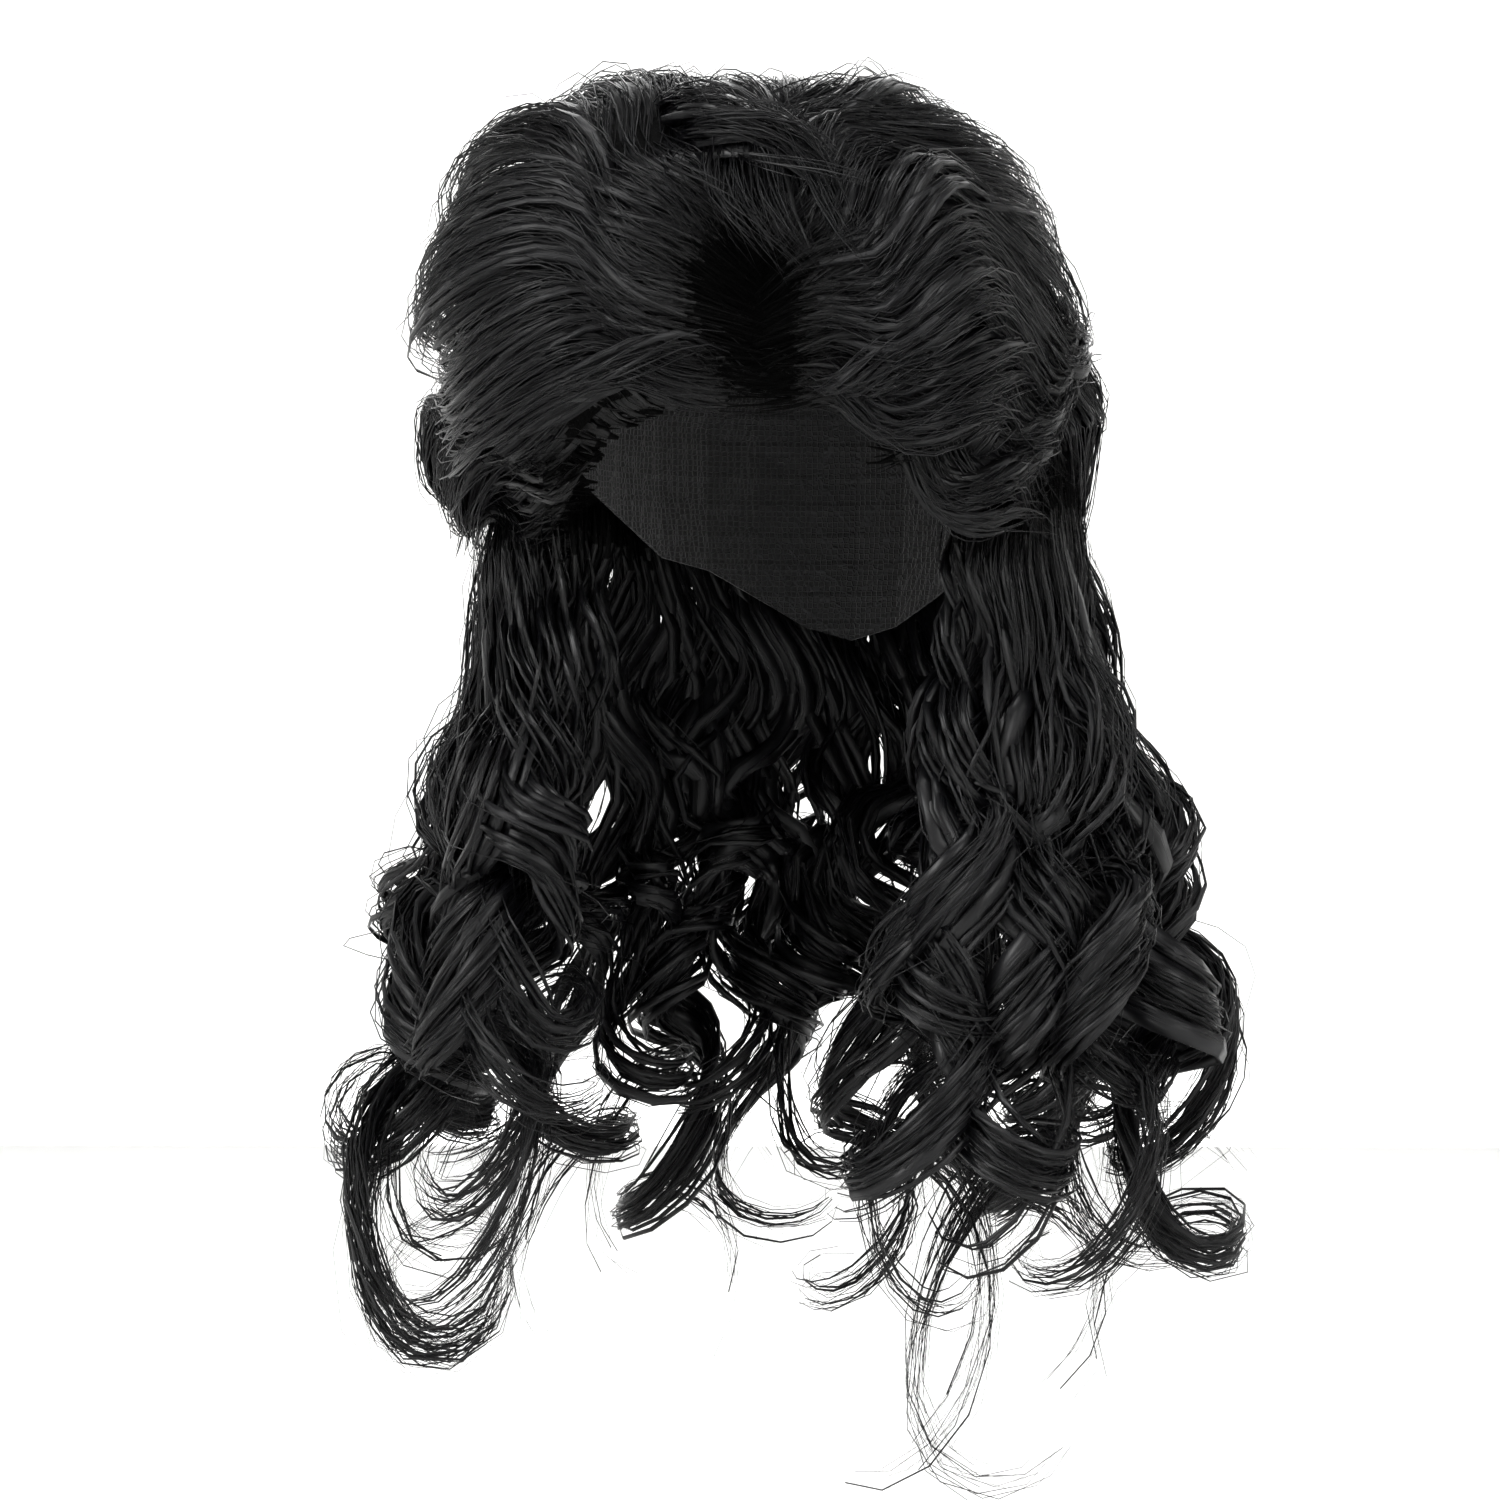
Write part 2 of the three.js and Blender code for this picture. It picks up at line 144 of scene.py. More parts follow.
soft_lights = [
    {"name": "key_light", "place": (-1.3, -2.0, 1.1), "width": 1.0, "height": 1.2, "watts": 60},
    {"name": "fill_light", "place": (1.9, -1.5, 0.6), "width": 1.0, "height": 1.4, "watts": 24},
    {"name": "top_light", "place": (0.1, -0.4, 1.7), "width": 1.2, "height": 1.0, "watts": 30},
    {"name": "back_light", "place": (-0.6, 1.9, 1.2), "width": 1.8, "height": 1.2, "watts": 30},
]
aim = Vector((0, 0, -0.18))
# Four more stand round the wig and face away from it, so that the wall is light from every side.
# The one behind the camera is the weakest, to keep the hair's contrast.
wall_light_reach = 2.7
wall_reach = 5.6
wall_lights = [
    {
        "name": f"wall_light_{number}",
        "place": (wall_light_reach * math.cos(turn), wall_light_reach * math.sin(turn), 0.3),
        "width": 3.2,
        "height": 2.4,
        "watts": watts,
        "target": Vector((wall_reach * math.cos(turn), wall_reach * math.sin(turn), -0.1)),
    }
    for number, watts in enumerate((100, 75, 50, 75))
    for turn in [math.radians(105 + 90 * number)]
]
for light in [*soft_lights, *wall_lights]:
    data = bpy.data.lights.new(light["name"], "AREA")
    data.shape = "RECTANGLE"
    data.size, data.size_y = light["width"], light["height"]
    data.energy = light["watts"]
    lamp = bpy.data.objects.new(light["name"], data)
    lamp.location = light["place"]
    lamp.rotation_euler = (light.get("target", aim) - lamp.location).to_track_quat("-Z", "Y").to_euler()
    bpy.context.scene.collection.objects.link(lamp)

world = bpy.data.worlds.new("studio")
world.use_nodes = True
world.node_tree.nodes["Background"].inputs["Color"].default_value = linear("#f2f2f2")
world.node_tree.nodes["Background"].inputs["Strength"].default_value = 0.28
bpy.context.scene.world = world
bpy.context.scene.view_settings.view_transform = "Standard"


# Cap
# A stretch cap of black knitted net, with the hair sewn on in rows. It fits close over the head,
# and its inside shows through the face opening. The net's threads are drawn coarser than real
# ones, 2 mm apart, so that they show.
net_pitch = 0.002
row_pitch = 0.011
net, tree, output = new_material("black_stretch_net")
place = add(tree, "TexCoord").outputs["Object"]
cells = add(
    tree,
    "TexVoronoi",
    {"Vector": place, "Scale": 1 / net_pitch, "Randomness": 0.35},
    feature="DISTANCE_TO_EDGE",
)
thread = add(
    tree,
    "MapRange",
    {
        "Value": cells.outputs["Distance"],
        "From Min": 0.02,
        "From Max": 0.16,
        "To Min": 1.0,
        "To Max": 0.0,
    },
)
rows = add(
    tree,
    "TexWave",
    {"Vector": place, "Scale": math.pi / (10 * row_pitch), "Distortion": 0.6, "Detail Scale": 2.0},
    bands_direction="Z",
)
seam = add(
    tree,
    "MapRange",
    {"Value": rows.outputs["Fac"], "From Min": 0.72, "From Max": 0.95, "To Min": 0.0, "To Max": 1.0},
)
relief = add(
    tree,
    "Math",
    {0: seam.outputs["Result"], 1: thread.outputs["Result"]},
    operation="ADD",
)
colour = add(
    tree,
    "Mix",
    {"Factor": thread.outputs["Result"], "A": linear("#101011"), "B": linear("#232325")},
    data_type="RGBA",
)
bump = add(
    tree,
    "Bump",
    {"Height": relief.outputs["Value"], "Strength": 0.7, "Distance": 0.0006},
)
shader = add(
    tree,
    "BsdfPrincipled",
    {
        "Base Color": colour.outputs["Result"],
        "Roughness": 0.78,
        "Sheen Weight": 0.25,
        "Sheen Roughness": 0.5,
        "Normal": bump.outputs["Normal"],
    },
)
tree.links.new(shader.outputs["BSDF"], output.inputs["Surface"])
for panel in ("cap_crown", "cap_band"):
    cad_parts[panel].data.materials.clear()
    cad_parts[panel].data.materials.append(net)


# Crown hair
# Short fibre, teased up from the cap into a full round crown, then combed over in smooth locks:
# forward into the hollow over the forehead, and down over the back. It is heat-set and semi-gloss.
# Each wisp stands for a bunch of fibres. The finest strands are drawn about 0.6 mm thick, coarser
# than real fibre, so that they show.
head_width = 0.154
head_front = 0.094
head_back = 0.104
head_rise = 0.092
head_taper = 0.16
cap_wall = 0.0015
cap_depth = 0.165
crown_lift = 0.062
sweep_thickness = 0.020
top_lift = 0.42
# The teased hair's lower edge, as a share of the cap's depth, and its heights at four levels down
# to that edge, as shares of the crown lift, by azimuth in degrees. It is lowest at 10 to 24, in the
# hollow.
rims = {
    "azimuth": (0, 28, 54, 76, 98, 126, 180),
    "hair": (0.5, 0.54, 0.66, 0.74, 0.74, 0.72, 0.7),
}
forms = {
    "azimuth": (-180, -150, -105, -70, -35, -8, 10, 24, 40, 70, 105, 150, 180),
    "upper": (0.56, 0.56, 0.62, 0.68, 0.62, 0.5, 0.44, 0.48, 0.52, 0.5, 0.5, 0.54, 0.56),
    "middle": (0.64, 0.66, 0.78, 0.88, 0.76, 0.46, 0.26, 0.34, 0.58, 0.56, 0.54, 0.6, 0.64),
    "lower": (0.68, 0.7, 0.76, 0.8, 0.52, 0.32, 0.16, 0.22, 0.4, 0.44, 0.5, 0.62, 0.68),
    "rim": (0.58, 0.6, 0.58, 0.46, 0.12, 0.08, 0.08, 0.08, 0.1, 0.18, 0.36, 0.54, 0.58),
}
# Each row is a lock: azimuth in degrees, reach and share of the crown lift at its root, at its
# middle and at its tip. The front locks fan out from the hollow, from the lowest on the wearer's
# left, over the top, to the lowest on the right. The back locks lie over the back of the head, and
# the falls hang from there over the tops of the long curls. The forelocks drop into the hollow.
front_fan = [
    (8, 0.97, 0.24, 44, 1.02, 0.44, 106, 1.12, 0.36),
    (9, 0.9, 0.28, 46, 0.82, 0.6, 114, 0.98, 0.44),
    (9, 0.84, 0.2, 48, 0.6, 0.68, 122, 0.82, 0.54),
    (8, 0.78, 0.18, 44, 0.4, 0.64, 134, 0.68, 0.6),
    (7, 0.7, 0.18, 34, 0.24, 0.58, 146, 0.56, 0.62),
    (7, 0.62, 0.18, 20, 0.12, 0.52, 164, 0.5, 0.62),
    (7, 0.58, 0.2, 0, 0.08, 0.5, 186, 0.5, 0.64),
    (8, 0.62, 0.18, -10, 0.14, 0.52, 206, 0.48, 0.7),
    (10, 0.7, 0.18, -24, 0.24, 0.58, 220, 0.52, 0.78),
    (13, 0.78, 0.18, -34, 0.38, 0.74, 232, 0.62, 0.9),
    (16, 0.84, 0.2, -40, 0.54, 0.92, 242, 0.76, 1.02),
    (20, 0.9, 0.26, -38, 0.76, 0.88, 250, 0.92, 1.0),
    (23, 0.97, 0.24, -36, 1.0, 0.6, 256, 1.06, 1.02),
]
back_locks = [
    (60, 0.26, 0.32, 112, 0.5, 0.6, 134, 0.98, 0.7),
    (100, 0.18, 0.32, 140, 0.5, 0.64, 154, 1.04, 0.7),
    (180, 0.1, 0.32, 180, 0.46, 0.66, 180, 1.0, 0.74),
    (260, 0.18, 0.32, 220, 0.5, 0.7, 206, 1.04, 0.76),
    (300, 0.26, 0.32, 248, 0.5, 0.78, 228, 0.98, 0.84),
]
falls = [
    (96, 0.62, 0.4, 112, 0.98, 0.58, 120, 1.5, 0.34),
    (120, 0.5, 0.4, 130, 0.95, 0.68, 134, 1.6, 0.4),
    (150, 0.45, 0.4, 153, 0.95, 0.74, 155, 1.65, 0.42),
    (180, 0.4, 0.4, 180, 0.95, 0.76, 180, 1.65, 0.42),
    (210, 0.45, 0.4, 207, 0.95, 0.76, 205, 1.65, 0.42),
    (236, 0.5, 0.4, 230, 0.95, 0.78, 228, 1.6, 0.44),
    (262, 0.62, 0.45, 250, 0.98, 0.84, 242, 1.5, 0.46),
]
forelocks = [
    (34, 0.08, 0.34, 4, 0.42, 0.62, 40, 0.74, 0.54),
    (18, 0.08, 0.34, -4, 0.4, 0.64, 30, 0.74, 0.5),
    (0, 0.08, 0.34, -12, 0.38, 0.64, 20, 0.72, 0.46),
]


def ease(value, low, high):
    """0 below low, 1 above high, and smooth between them."""
    part = np.clip((value - low) / (high - low), 0, 1)
    return part * part * (3 - 2 * part)


def over_head(azimuth, reach, height):
    """Points at a height over the head. Reach 0 is its top and 1 its widest level, and past that
    the head narrows towards the neck."""
    turn = np.radians(azimuth)
    fall = np.minimum(reach, 1) * (np.pi / 2)
    below = (np.maximum(reach, 1) - 1) * (np.pi / 2)
    girth = np.sin(fall) * (1 - head_taper * below * below)
    side = head_width / 2 * girth + height * np.sin(fall)
    half = np.where(np.cos(turn) > 0, head_front, head_back)
    along = half * girth + height * np.sin(fall)
    drop = head_rise * (1 - np.cos(fall) + below) - height * np.cos(fall)
    return np.stack([side * np.sin(turn), -along * np.cos(turn), -drop], axis=-1)


def reach_at(drop):
    """Reach at which the head's surface lies a drop below the crown seat."""
    past = np.maximum(drop / head_rise - 1, 0)
    return (np.arccos(1 - np.minimum(drop / head_rise, 1)) + past) / (np.pi / 2)


def unit(vectors):
    return vectors / np.maximum(np.linalg.norm(vectors, axis=-1, keepdims=True), 1e-9)


def directions(ways, outs):
    """Directions across and out at each point of some ways."""
    ahead = unit(np.gradient(ways, axis=-2))
    out = unit(outs - (outs * ahead).sum(-1, keepdims=True) * ahead)
    return np.cross(out, ahead), out


def columns(rows, at):
    """The columns of a table of locks, at fractions of the way between its rows."""
    table = np.array(rows, float)
    low = np.clip(np.floor(at).astype(int), 0, len(rows) - 2)
    part = (at - low)[..., None]
    return np.moveaxis(table[low] * (1 - part) + table[low + 1] * part, -1, 0)


def combed(rows, at, share):
    """Ways of short locks combed over the head at their heights, and their directions outwards."""
    places = columns(rows, at)
    first, second, third = (over_head(*places[k : k + 3]) for k in (0, 3, 6))
    heights = places[2::3] * crown_lift - sweep_thickness / 2
    t = share[..., None]
    bend = 2 * second - (first + third) / 2
    ways = (1 - t) ** 2 * first + 2 * t * (1 - t) * bend + t * t * third
    bend = 2 * heights[1] - (heights[0] + heights[2]) / 2
    height = (1 - share) ** 2 * heights[0] + 2 * share * (1 - share) * bend + share**2 * heights[2]
    outs = ways - np.array([0, 0, -head_rise])
    x, y, z = np.moveaxis(outs, -1, 0)
    half = np.where(y < 0, head_front, head_back)
    above = np.maximum(z, 0)
    size = np.sqrt((x / (head_width / 2)) ** 2 + (y / half) ** 2 + (above / head_rise) ** 2)
    girth = 1 / size + height / np.sqrt(x * x + y * y + above * above)
    rise = np.where(z > 0, girth, 1)
    ways = outs * np.stack([girth, girth, rise], axis=-1) - np.array([0, 0, head_rise])
    return ways, outs


def tube(sides, rings):
    """A closed tube of radius 1 from z 0 to 1, with rings of equal height."""
    made = bmesh.new()
    bmesh.ops.create_cone(
        made, cap_ends=True, segments=sides, radius1=1, radius2=1, depth=1
    )
    upright = [e for e in made.edges if abs(e.verts[0].co.z - e.verts[1].co.z) > 0.5]
    bmesh.ops.subdivide_edges(made, edges=upright, cuts=rings - 1, use_grid_fill=True)
    bmesh.ops.translate(made, verts=made.verts, vec=(0, 0, 0.5))
    bmesh.ops.recalc_face_normals(made, faces=made.faces)
    made.verts.index_update()
    return made


def swept(name, sides, groups):
    """One mesh of many tubes. Each group holds ways, outward directions, widths and thicknesses,
    for as many points along each tube as the ways have. Their roots get the matted material,
    whose colour is painted near black as shade."""
    ways, outs, widths, thicks = (np.concatenate(part) for part in zip(*groups))
    rings = ways.shape[1] - 1
    pattern = tube(sides, rings)
    corners = np.array([v.co for v in pattern.verts])
    ring = np.rint(corners[:, 2] * rings).astype(int)
    spoke = np.rint(np.arctan2(corners[:, 1], corners[:, 0]) * sides / (2 * np.pi)).astype(int) % sides
    loops = [[v.index for v in face.verts] for face in pattern.faces]
    pattern.free()
    across, out = directions(ways, outs)
    points = (
        ways[:, ring]
        + across[:, ring] * (corners[:, 0] * widths[:, ring] / 2)[..., None]
        + out[:, ring] * (corners[:, 1] * thicks[:, ring] / 2)[..., None]
    )
    count, each = points.shape[:2]
    counts = np.array([len(face) for face in loops])
    flat = np.concatenate(loops)
    first = np.concatenate([[0], np.cumsum(counts)[:-1]])
    mesh = bpy.data.meshes.new(name)
    mesh.vertices.add(count * each)
    mesh.vertices.foreach_set("co", points.reshape(-1))
    mesh.loops.add(count * len(flat))
    offsets = np.arange(count)[:, None] * each
    mesh.loops.foreach_set("vertex_index", (flat + offsets).reshape(-1).astype(np.int32))
    mesh.polygons.add(count * len(counts))
    starts = first + np.arange(count)[:, None] * len(flat)
    mesh.polygons.foreach_set("loop_start", starts.reshape(-1).astype(np.int32))
    mesh.polygons.foreach_set("use_smooth", np.ones(count * len(counts), bool))
    lengths = np.linalg.norm(np.diff(ways, axis=1), axis=-1).sum(1)
    girths = np.pi / 2 * (widths.max(1) + thicks.max(1))
    face_of = np.repeat(np.arange(len(counts)), counts)
    wraps = np.array([max(spoke[face]) - min(spoke[face]) > sides / 2 for face in loops])
    around = (spoke[flat] + sides * (wraps[face_of] & (spoke[flat] == 0))) / sides
    own = np.random.default_rng(len(name))
    shift = own.uniform(0, 8, (2, count, 1))
    uvs = np.stack(
        [around * girths[:, None] + shift[0], ring[flat] / rings * lengths[:, None] + shift[1]],
        axis=-1,
    )
    mesh.uv_layers.new(name="fibre").data.foreach_set("uv", uvs.reshape(-1).astype(np.float32))
    # The root map holds each point's distance along its tube from the root, for the fibre's painted
    # root shade. The faces within a few mm of each root take the matted material, painted near black as
    # shade.
    lengthwise = ring[flat] / rings * lengths[:, None]
    reach = np.stack([lengthwise, 0 * lengthwise], axis=-1)
    mesh.uv_layers.new(name="root").data.foreach_set("uv", reach.reshape(-1).astype(np.float32))
    rooted = lengthwise[:, first] < own.uniform(*matted_shaded_roots, (count, 1))
    mesh.polygons.foreach_set("material_index", rooted.reshape(-1).astype(np.int32))
    mesh.update(calc_edges=True)
    mesh.validate()
    return show(name, mesh, fibre, matted_and_shaded)


def locks(way_of, rows, span, count, pitch, rings, look, chance):
    """Wisps or strands of hair laid along the ways of some locks. They start evenly over the
    span of rows, gather into locks a pitch of rows apart, wave together with their lock, end at
    lengths of their own and flick out at their tips."""
    along = np.linspace(0, 1, rings + 1) ** look["crowding"]
    inset = look.get("inset", 0)
    root = chance.uniform(span[0] + inset, span[1] - inset, (count, 1))
    number = np.rint(root / pitch)
    off = (root / pitch - number) * 2
    habit = np.random.default_rng(5).uniform(0, 1, (3, 60))[:, number.astype(int)]
    start = look["start"] * (habit[0] + chance.uniform(0, 1, (count, 1))) / 2
    end = look.get("end", 1) - look["fray"] * chance.uniform(0, 1, (count, 1)) ** 1.5
    share = start + (end - start) * along
    gather = look["gather"] * ease(share, *look["gathered"])
    at = (number + off / 2 * (1 - gather)) * pitch
    middle, outs = way_of(rows, at, share)
    across, out = directions(middle, outs)
    deep = chance.uniform(*look["deep"], (count, 1))
    thin = 1 - look["thin"] * ease(share, 0.4, 1)
    own = chance.uniform(0, 2 * np.pi, (3, count, 1))
    wander = look["wander"] * (0.3 + share)
    beat = 2 * np.pi * look["waves"] * (0.85 + 0.3 * habit[2]) * share
    beat = beat + look["drift"] * (number + 2 * habit[1])
    beat = beat + 0.5 * np.sin(own[0])
    swing = look["wave"] * ease(share, 0.03, look["wave_by"])
    swing = swing * (1 - look["calm"] * ease(share, 0.35, 0.7))
    aside = off * gather * look["width"] / 2 * thin + swing * np.sin(beat)
    aside = aside + wander * np.sin(own[1] + 7 * share)
    aside = aside + look["scatter"] * np.cos(own[2]) * (1 - ease(share, 0, 0.35))
    above = deep * look["thickness"] / 2 * thin + look["heave"] * swing * np.cos(beat)
    above = above + 0.6 * wander * np.sin(own[2] + 6 * share)
    above = above + look["flick"] * ease(share, 0.75, 1) ** 2 * chance.uniform(0.1, 1, (count, 1))
    above = above + look.get("layer", 0) * (number % 2)
    ways = middle + across * aside[..., None] + out * above[..., None]
    taper = (0.1 + 0.9 * ease(along, 0, 0.25)) * (1 - 0.93 * ease(along, look["taper"], 1))
    size = look["own"] * taper * chance.uniform(0.7, 1.3, (count, 1))
    return ways, out + 0.5 * across * off[..., None], size, size * look["flat"]


# Semi-gloss black fibre, with fine streaks along each lock and a highlight drawn out across them.
# The streaks lie 1.1 mm apart, coarser than real fibre, so that they show.
fibre_pitch = 0.0011
streak_length = 0.07
bunch_pitch = 0.005
bunch_length = 0.1
fibre, tree, output = new_material("black_heat_set_fibre")
layout = add(tree, "UVMap", uv_map="fibre").outputs["UV"]
stretch = add(tree, "Mapping", {"Vector": layout, "Scale": (1 / fibre_pitch, 1 / streak_length, 1)})
streaks = add(
    tree,
    "TexNoise",
    {"Vector": stretch.outputs["Vector"], "Scale": 1.0, "Detail": 3.0, "Roughness": 0.65},
    noise_dimensions="2D",
)
bands = add(tree, "Mapping", {"Vector": layout, "Scale": (1 / bunch_pitch, 1 / bunch_length, 1)})
bunches_tone = add(
    tree,
    "TexNoise",
    {"Vector": bands.outputs["Vector"], "Scale": 1.0, "Detail": 1.0},
    noise_dimensions="2D",
)
tones = add(
    tree,
    "Math",
    {0: bunches_tone.outputs["Fac"], 1: streaks.outputs["Fac"]},
    operation="MULTIPLY",
)
tone = add(
    tree,
    "MapRange",
    {"Value": tones.outputs["Value"], "From Min": 0.12, "From Max": 0.42},
)
colour = add(
    tree,
    "Mix",
    {"Factor": tone.outputs["Result"], "A": linear("#020203"), "B": linear("#0e0e10")},
    data_type="RGBA",
)
gloss = add(
    tree,
    "MapRange",
    {
        "Value": streaks.outputs["Fac"],
        "From Min": 0.3,
        "From Max": 0.7,
        "To Min": 0.26,
        "To Max": 0.46,
    },
)
# The first 45 mm from the roots lie deep in the other hair, in shade: painted shade darkens their
# colour there, to black within 4 mm of the root.
near_root = add(tree, "SeparateXYZ", {"Vector": add(tree, "UVMap", uv_map="root").outputs["UV"]})
shade = add(
    tree,
    "MapRange",
    {"Value": near_root.outputs["X"], "From Min": 0.004, "From Max": 0.045},
    interpolation_type="SMOOTHSTEP",
)
colour = add(
    tree,
    "Mix",
    {"Factor": shade.outputs["Result"], "A": linear("#000000"), "B": colour.outputs["Result"]},
    data_type="RGBA",
)
relief = add(
    tree,
    "Bump",
    {"Height": streaks.outputs["Fac"], "Strength": 0.9, "Distance": 0.0006},
)
grain = add(tree, "Tangent", direction_type="UV_MAP", uv_map="fibre")
shader = add(
    tree,
    "BsdfPrincipled",
    {
        "Base Color": colour.outputs["Result"],
        "Roughness": gloss.outputs["Result"],
        "Specular IOR Level": 0.25,
        "Anisotropic": 0.6,
        "Tangent": grain.outputs["Tangent"],
        "Normal": relief.outputs["Normal"],
    },
)
tree.links.new(shader.outputs["BSDF"], output.inputs["Surface"])

# The teased hair under the locks, and the roots in it, are matted: a dull black with little gloss. Its
# colour is also painted near pure black, darker than the combed fibre, as painted shade, so that it
# shows only as depth between the locks and in the hollow.
matted_and_shaded, tree, output = new_material("black_teased_fibre_painted_shade")
place = add(tree, "TexCoord").outputs["Object"]
frizz = add(tree, "TexNoise", {"Vector": place, "Scale": 600.0, "Detail": 4.0, "Roughness": 0.7})
relief = add(tree, "Bump", {"Height": frizz.outputs["Fac"], "Strength": 1.0, "Distance": 0.001})
colour = add(
    tree,
    "Mix",
    {"Factor": frizz.outputs["Fac"], "A": linear("#000000"), "B": linear("#050505")},
    data_type="RGBA",
)
shader = add(
    tree,
    "BsdfPrincipled",
    {
        "Base Color": colour.outputs["Result"],
        "Roughness": 0.7,
        "Specular IOR Level": 0.04,
        "Normal": relief.outputs["Normal"],
    },
)
tree.links.new(shader.outputs["BSDF"], output.inputs["Surface"])


def rim_reach(azimuth):
    """Reach of the short hair's lower edge."""
    off = abs((azimuth + 180) % 360 - 180)
    return float(reach_at(np.interp(off, rims["azimuth"], rims["hair"]) * cap_depth))


def teased_height(azimuth, share):
    """Height of the teased hair over the head, a share of the way down to its edge."""
    steps = [top_lift] + [
        np.interp(azimuth, forms["azimuth"], forms[key])
        for key in ("upper", "middle", "lower", "rim")
    ]
    return np.interp(share * 4, range(5), steps) * crown_lift


teased_sunk = 0.010
# Each tube's first 2 to 13 mm, drawn at random, take the matted material, painted near black as shade.
matted_shaded_roots = (0.002, 0.013)
teased = bmesh.new()
bmesh.ops.create_uvsphere(teased, u_segments=64, v_segments=40, radius=1)
for face in teased.faces:
    face.smooth = True
for vert in teased.verts:
    x, y, z = vert.co
    azimuth = math.degrees(math.atan2(x, -y))
    down = math.acos(max(-1, min(1, z))) / (math.pi / 2)
    share = min(down, 2 - down)
    height = max(teased_height(azimuth, share) - teased_sunk, 0.003)
    if down > 1:
        height = cap_wall + 0.001
    vert.co = over_head(azimuth, share * rim_reach(azimuth), height)
mesh = bpy.data.meshes.new("crown_teased_hair")
teased.to_mesh(mesh)
teased.free()
teased_hair = show("crown_teased_hair", mesh, matted_and_shaded)
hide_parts("crown_hair")
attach(teased_hair, "root")

# Four finenesses of hair make up each group of locks.
short_looks = {
    "tresses": {
        "own": 0.011,
        "flat": 0.3,
        "deep": (-1.2, -0.1),
        "taper": 0.35,
        "wander": 0.001,
        "inset": 0.3,
    },
    "wisps": {"own": 0.0036, "flat": 0.35, "deep": (-0.5, 0.5), "taper": 0.45, "wander": 0.002},
    "strands": {"own": 0.0006, "flat": 0.8, "deep": (-0.1, 0.75), "taper": 0.8, "wander": 0.0035},
    "flyaways": {"own": 0.0004, "flat": 1, "deep": (0.4, 1.1), "taper": 0.7, "wander": 0.006},
}
short_form = {
    "gather": 0.4,
    "gathered": (0.3, 1.0),
    "width": 0.024,
    "thickness": 0.014,
    "thin": 0.5,
    "wave": 0.008,
    "wave_by": 0.3,
    "heave": 0.45,
    "waves": 1.4,
    "calm": 0,
    "drift": 0.6,
    "flick": 0.003,
    "fray": 0.2,
    "scatter": 0.007,
    "start": 0.14,
    "crowding": 1,
    "layer": -0.002,
}
sides_of = {"tresses": 6, "wisps": 4, "strands": 3, "flyaways": 3}
rings_of = {"tresses": 1.0, "wisps": 1.0, "strands": 0.8, "flyaways": 0.75}


def dress(name, parts, chance):
    """The hair of one node. Each part gives its ways, rows, span, pitch, form and counts."""
    made = []
    for fineness, sides in sides_of.items():
        groups = [
            locks(
                part["way"],
                part["rows"],
                part["span"],
                part["counts"][fineness],
                part["pitch"],
                round(part["rings"] * rings_of[fineness]),
                {**part["form"], **part["looks"][fineness]},
                chance,
            )
            for part in parts
        ]
        piece = swept(f"{name}_{fineness}", sides, groups)
        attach(piece, "root")
        made.append(piece)
    return made


def short_part(rows, span, tresses, wisps, strands, pitch=0.5, **form):
    return {
        "way": combed,
        "rows": rows,
        "span": span,
        "pitch": pitch,
        "rings": 16,
        "form": {**short_form, **form},
        "looks": short_looks,
        "counts": {
            "tresses": tresses,
            "wisps": wisps,
            "strands": strands,
            "flyaways": strands // 8,
        },
    }


chance = np.random.default_rng(11)
dress(
    "crown",
    [
        short_part(back_locks, (-0.4, 4.4), 50, 90, 240),
        short_part(falls, (-0.4, 6.4), 60, 120, 300),
        short_part(front_fan, (3.3, 8.7), 70, 170, 500, start=0.05),
        short_part(forelocks, (-0.3, 2.3), 8, 50, 150, gather=0.7, scatter=0.003, wave=0.011),
    ],
    chance,
)


# Front sweeps
# Locks combed from the parting across the forehead to both sides and back over the temples, each
# one lying over the next. Their tips flick out a little at the sides.
fronts = {
    "front_sweep_left": (-0.1, 3.5),
    "front_sweep_right": (8.4, 12.1),
}
# The hairline's own locks rise from the cap's front edge and turn into the sweeps.
hairlines = {
    "front_sweep_left": [
        (11, 0.93, 0.1, 32, 0.92, 0.42, 60, 0.94, 0.55),
        (30, 0.96, 0.08, 50, 0.96, 0.4, 80, 0.98, 0.45),
        (48, 1.05, 0.08, 66, 1.04, 0.36, 92, 1.06, 0.38),
        (66, 1.15, 0.08, 80, 1.14, 0.3, 102, 1.16, 0.3),
    ],
    "front_sweep_right": [
        (14, 0.93, 0.1, -8, 0.92, 0.42, -44, 0.92, 0.7),
        (-8, 0.94, 0.06, -30, 0.94, 0.42, -62, 0.95, 0.78),
        (-26, 0.98, 0.04, -48, 1.0, 0.52, -86, 1.0, 1.0),
        (-42, 1.06, 0.03, -62, 1.07, 0.52, -96, 1.06, 1.0),
        (-54, 1.16, 0.03, -72, 1.16, 0.52, -100, 1.16, 0.92),
        (-66, 1.26, 0.03, -80, 1.26, 0.5, -102, 1.26, 0.84),
    ],
}
for name, span in fronts.items():
    edge = hairlines[name]
    parts = [
        short_part(front_fan, span, 56, 150, 440, gather=0.55, wave=0.010, start=0.05),
        short_part(edge, (-0.2, len(edge) - 0.8), 46, 110, 180, gather=0.2, start=0.03),
    ]
    tresses, *rest = dress(name, parts, chance)
    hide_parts(name)


